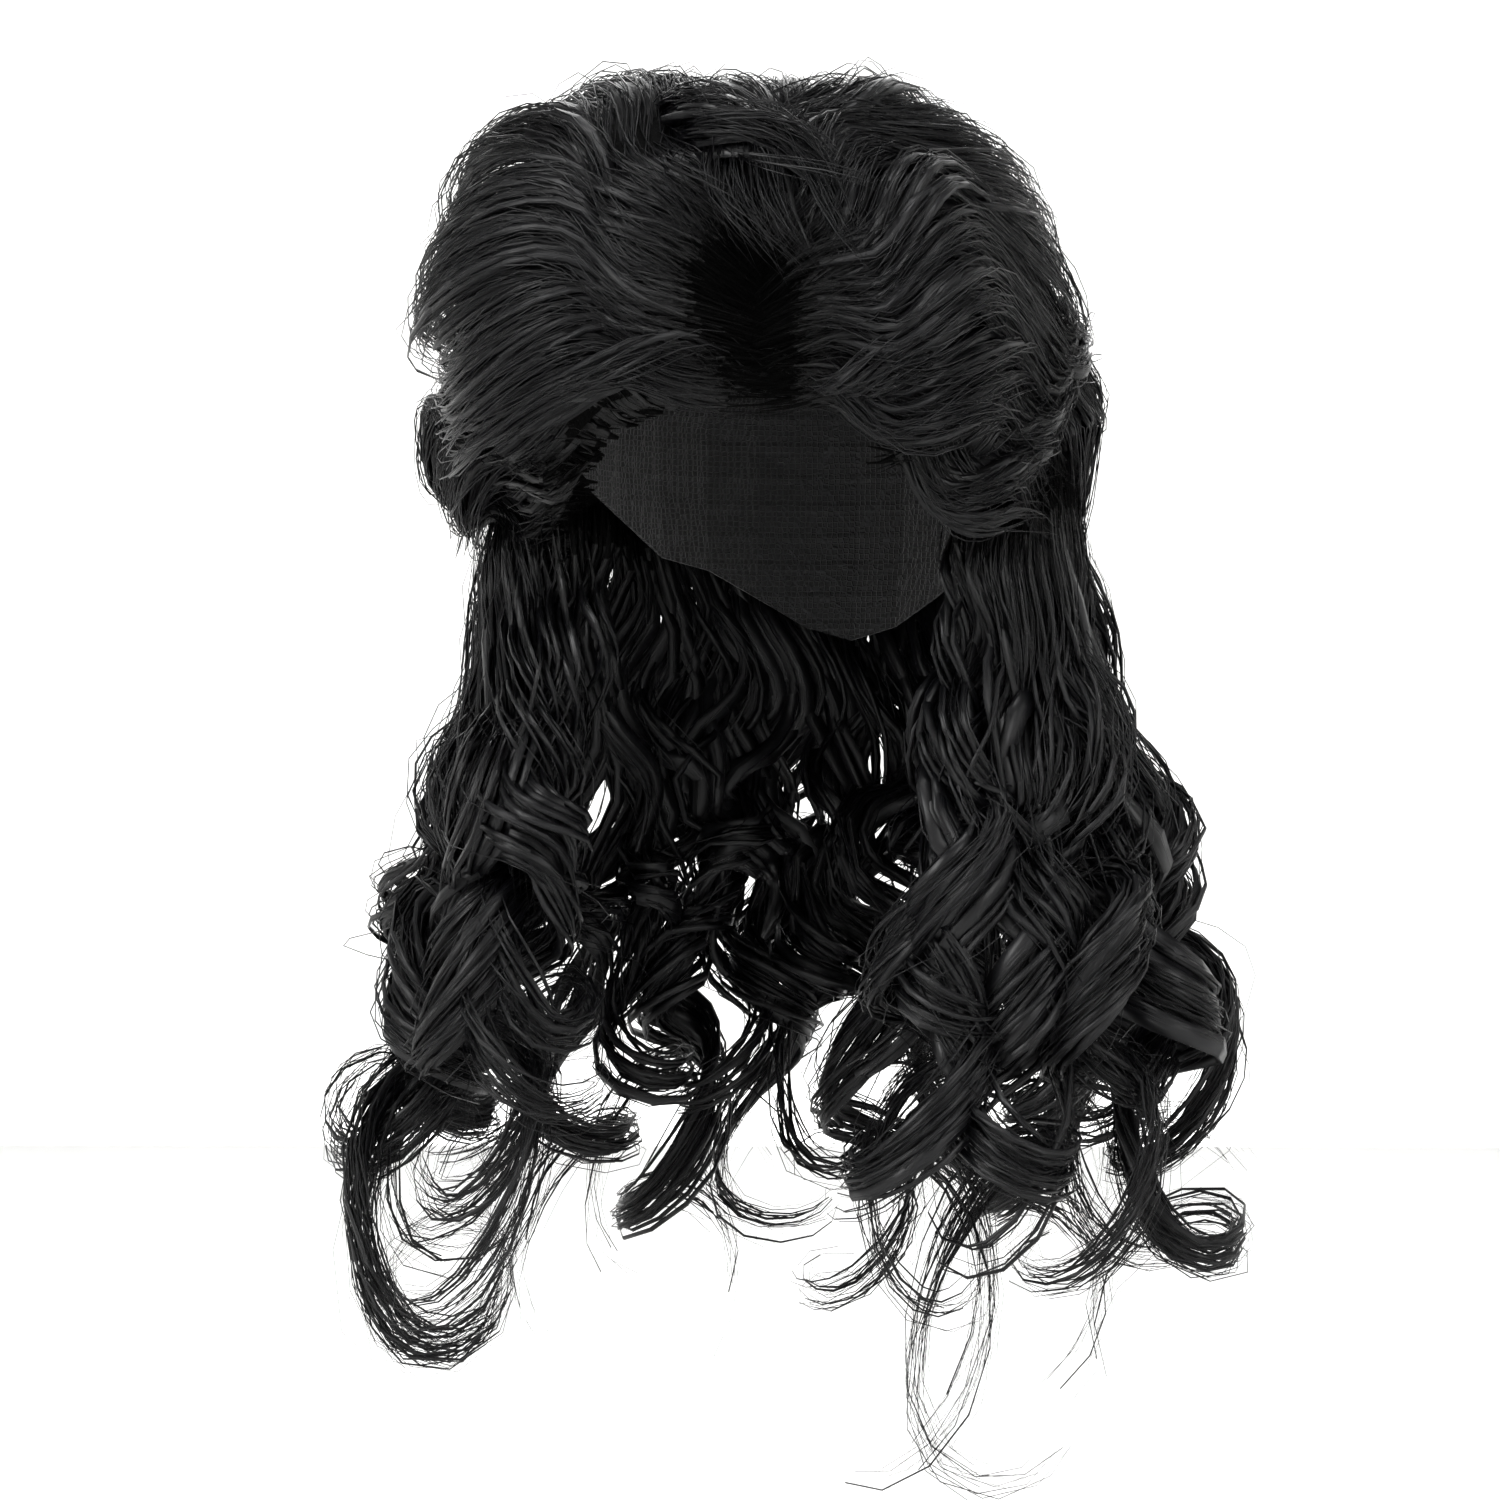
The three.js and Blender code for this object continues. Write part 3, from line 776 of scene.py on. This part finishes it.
# Side wings
# Short locks that flick back over the temples and the tops of the ears, under the front sweeps.
wings = {
    "side_wing_right": [
        (-38, 1.06, 0.2, -64, 1.14, 0.6, -96, 1.22, 0.8),
        (-58, 0.96, 0.7, -84, 1.04, 0.92, -112, 1.1, 0.98),
        (-92, 0.8, 0.8, -118, 0.86, 0.84, -146, 0.98, 0.8),
    ],
    "side_wing_left": [
        (38, 1.06, 0.26, 62, 1.14, 0.36, 92, 1.24, 0.42),
        (56, 0.96, 0.4, 84, 1.0, 0.42, 112, 1.08, 0.46),
        (88, 0.78, 0.48, 114, 0.84, 0.58, 142, 0.98, 0.66),
    ],
}
for name, rows in wings.items():
    tresses, *rest = dress(name, [short_part(rows, (-0.4, 2.3), 36, 90, 240, flick=0.01)], chance)
    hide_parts(name)


# Long curls
# Fibre up to 430 mm long in spiral locks, sewn to the cap's edge from ear to ear. It is dense and
# wavy down to the jaw, and hangs in separate curls below, each tighter and thinner to its tip.
nape_lift = 0.026
hair_drop = 0.430
hair_spread = 0.152
curl_thickness = 0.018
curl_radius = 0.020
curl_quickening = 1.25
swing = 0.75
curl_start = 0.15
curl_growth = 0.55
ring_start = 0.55
ring_growth = 0.7
ring_tilt = 1.5
# Each row is a lock: azimuth, share of the drop and height at its root; azimuth, share of the drop
# and share of the spread at its tip; and its curl's size, turns, starting angle and tilt.
long_locks = {
    "long_curls_right": [
        (-116, 0.24, 1, -116, 0.84, 0.92, 0.9, 3.2, 0, 0.5),
        (-106, 0.23, 1.2, -103, 0.95, 0.96, 1, -3.6, 100, 0.7),
        (-96, 0.23, 1.3, -90, 0.88, 0.94, 1.15, 3.2, 210, 0.8),
        (-86, 0.23, 1.2, -75, 0.99, 0.84, 1.2, -3.5, 310, 0.9),
        (-76, 0.24, 0.9, -60, 0.9, 0.72, 1.1, 3.3, 60, 0.9),
        (-66, 0.26, 0.4, -53, 0.78, 0.6, 0.9, -2.8, 160, 0.7),
    ],
    "long_curls_left": [
        (74, 0.26, 0.4, 56, 0.8, 0.52, 0.8, -2.9, 140, 0.7),
        (81, 0.24, 0.7, 44, 0.97, 0.56, 1.1, 3.4, 40, 0.9),
        (89, 0.23, 0.9, 58, 0.99, 0.68, 1.1, -3.7, 300, 0.9),
        (97, 0.23, 1, 76, 0.9, 0.8, 1, 3.3, 200, 0.7),
        (106, 0.23, 1, 94, 0.96, 0.9, 1, -3.6, 100, 0.6),
        (115, 0.24, 1, 112, 0.86, 0.92, 0.95, 3.2, 0, 0.5),
    ],
    "long_curls_back": [
        (129, 0.24, 0.9, 127, 0.9, 0.86, 0.9, -3.5, 250, 0.5),
        (146, 0.24, 0.9, 145, 0.98, 0.82, 0.9, 3.6, 0, 0.6),
        (163, 0.24, 0.9, 162, 0.88, 0.78, 0.85, -3.2, 100, 0.5),
        (180, 0.24, 0.9, 180, 0.99, 0.76, 0.9, 3.7, 200, 0.6),
        (197, 0.24, 0.9, 198, 0.9, 0.78, 0.85, -3.4, 310, 0.5),
        (214, 0.24, 0.9, 215, 0.97, 0.82, 0.9, 3.6, 40, 0.6),
        (231, 0.24, 0.9, 232, 0.94, 0.86, 0.9, -3.5, 150, 0.5),
    ],
}


def hanging(rows, at, share):
    """Ways of long locks, whose curls grow on the way down, and their directions outwards."""
    source, high, lift, to, low, out, size, turns, phase, tilt = columns(rows, at)
    start = over_head(source, reach_at(high * hair_drop), lift * nape_lift - curl_thickness / 2)
    root_out = np.hypot(start[..., 0], start[..., 1])
    azimuth = np.radians(source + (to - source) * ease(share, 0, 1))
    belly = root_out + (out * hair_spread - root_out) * ease(share, 0, swing)
    drop = -start[..., 2] + (low * hair_drop + start[..., 2]) * share
    away = np.stack([np.sin(azimuth), -np.cos(azimuth), 0 * azimuth], axis=-1)
    sideways = np.stack([np.cos(azimuth), np.sin(azimuth), 0 * azimuth], axis=-1)
    angle = np.radians(phase + 360 * turns * share**curl_quickening)
    grown = 0.6 * ease(share, curl_start, curl_growth) + ring_growth * ease(share, ring_start, 1)
    radius = size * curl_radius * grown
    curl = away * (np.sin(angle) * radius)[..., None]
    curl = curl + sideways * (np.cos(angle) * radius)[..., None]
    ways = away * belly[..., None] + curl
    ways[..., 2] = -drop + curl[..., 1] * tilt * ring_tilt * ease(share, ring_start, 0.9)
    wound = ease(share, 0.4, 0.65)[..., None]
    return ways, away * (1 - wound) + unit(curl) * wound


long_looks = {
    "tresses": {"own": 0.0075, "flat": 0.35, "deep": (-1, 0.4), "taper": 0.55, "wander": 0.003},
    "wisps": {"own": 0.0028, "flat": 0.4, "deep": (-1, 1), "taper": 0.65, "wander": 0.004},
    "strands": {"own": 0.0006, "flat": 0.8, "deep": (-1.1, 1.2), "taper": 0.8, "wander": 0.0045},
    "flyaways": {"own": 0.0004, "flat": 1, "deep": (-1.5, 2), "taper": 0.7, "wander": 0.011},
}
long_form = {
    "gather": 1.0,
    "gathered": (0.15, 0.6),
    "width": 0.028,
    "thickness": 0.015,
    "thin": 0.88,
    "wave": 0.009,
    "wave_by": 0.2,
    "heave": 0.4,
    "waves": 3.4,
    "calm": 0.4,
    "drift": 1.1,
    "flick": 0.002,
    "fray": 0.16,
    "scatter": 0.0,
    "start": 0.04,
    "crowding": 0.75,
}
# Under the locks hang others between them, shorter and closer in, which turn the other way, and the
# straight hair of the wefts along the cap's edge.
under_turn = 110
under_share = (1, 1, 1, 1, 0.92, 0.88, 0.85)
wefts = {"own": 0.006, "flat": 0.3, "deep": (-1, 0.4), "taper": 0.5, "wander": 0.003}
for name, rows in long_locks.items():
    part = {
        "way": hanging,
        "rows": rows,
        "span": (-0.5, len(rows) - 0.5),
        "pitch": 1,
        "rings": 42,
        "form": long_form,
        "looks": long_looks,
        "counts": {"tresses": 40, "wisps": 108, "strands": 190, "flyaways": 24},
    }
    under = [
        (
            *((a + b) / 2 * share for a, b, share in zip(low, high, under_share)),
            -low[7],
            low[8] + under_turn,
            low[9],
        )
        for low, high in zip(rows, rows[1:])
    ]
    inner = {
        **part,
        "rows": under,
        "span": (-0.5, len(under) - 0.5),
        "counts": {"tresses": 24, "wisps": 50, "strands": 64, "flyaways": 8},
    }
    tresses, *rest = dress(name, [part, inner], chance)
    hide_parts(name)
    straight = [(*row[:6], 0, *row[7:]) for row in rows]
    look = {**long_form, **wefts, "end": 0.66, "fray": 0.3, "gather": 0}
    group = locks(hanging, straight, (-0.9, len(rows) - 0.1), 112, 0.25, 12, look, chance)
    curtain = swept(f"{name}_wefts", 6, [group])
    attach(curtain, "root")
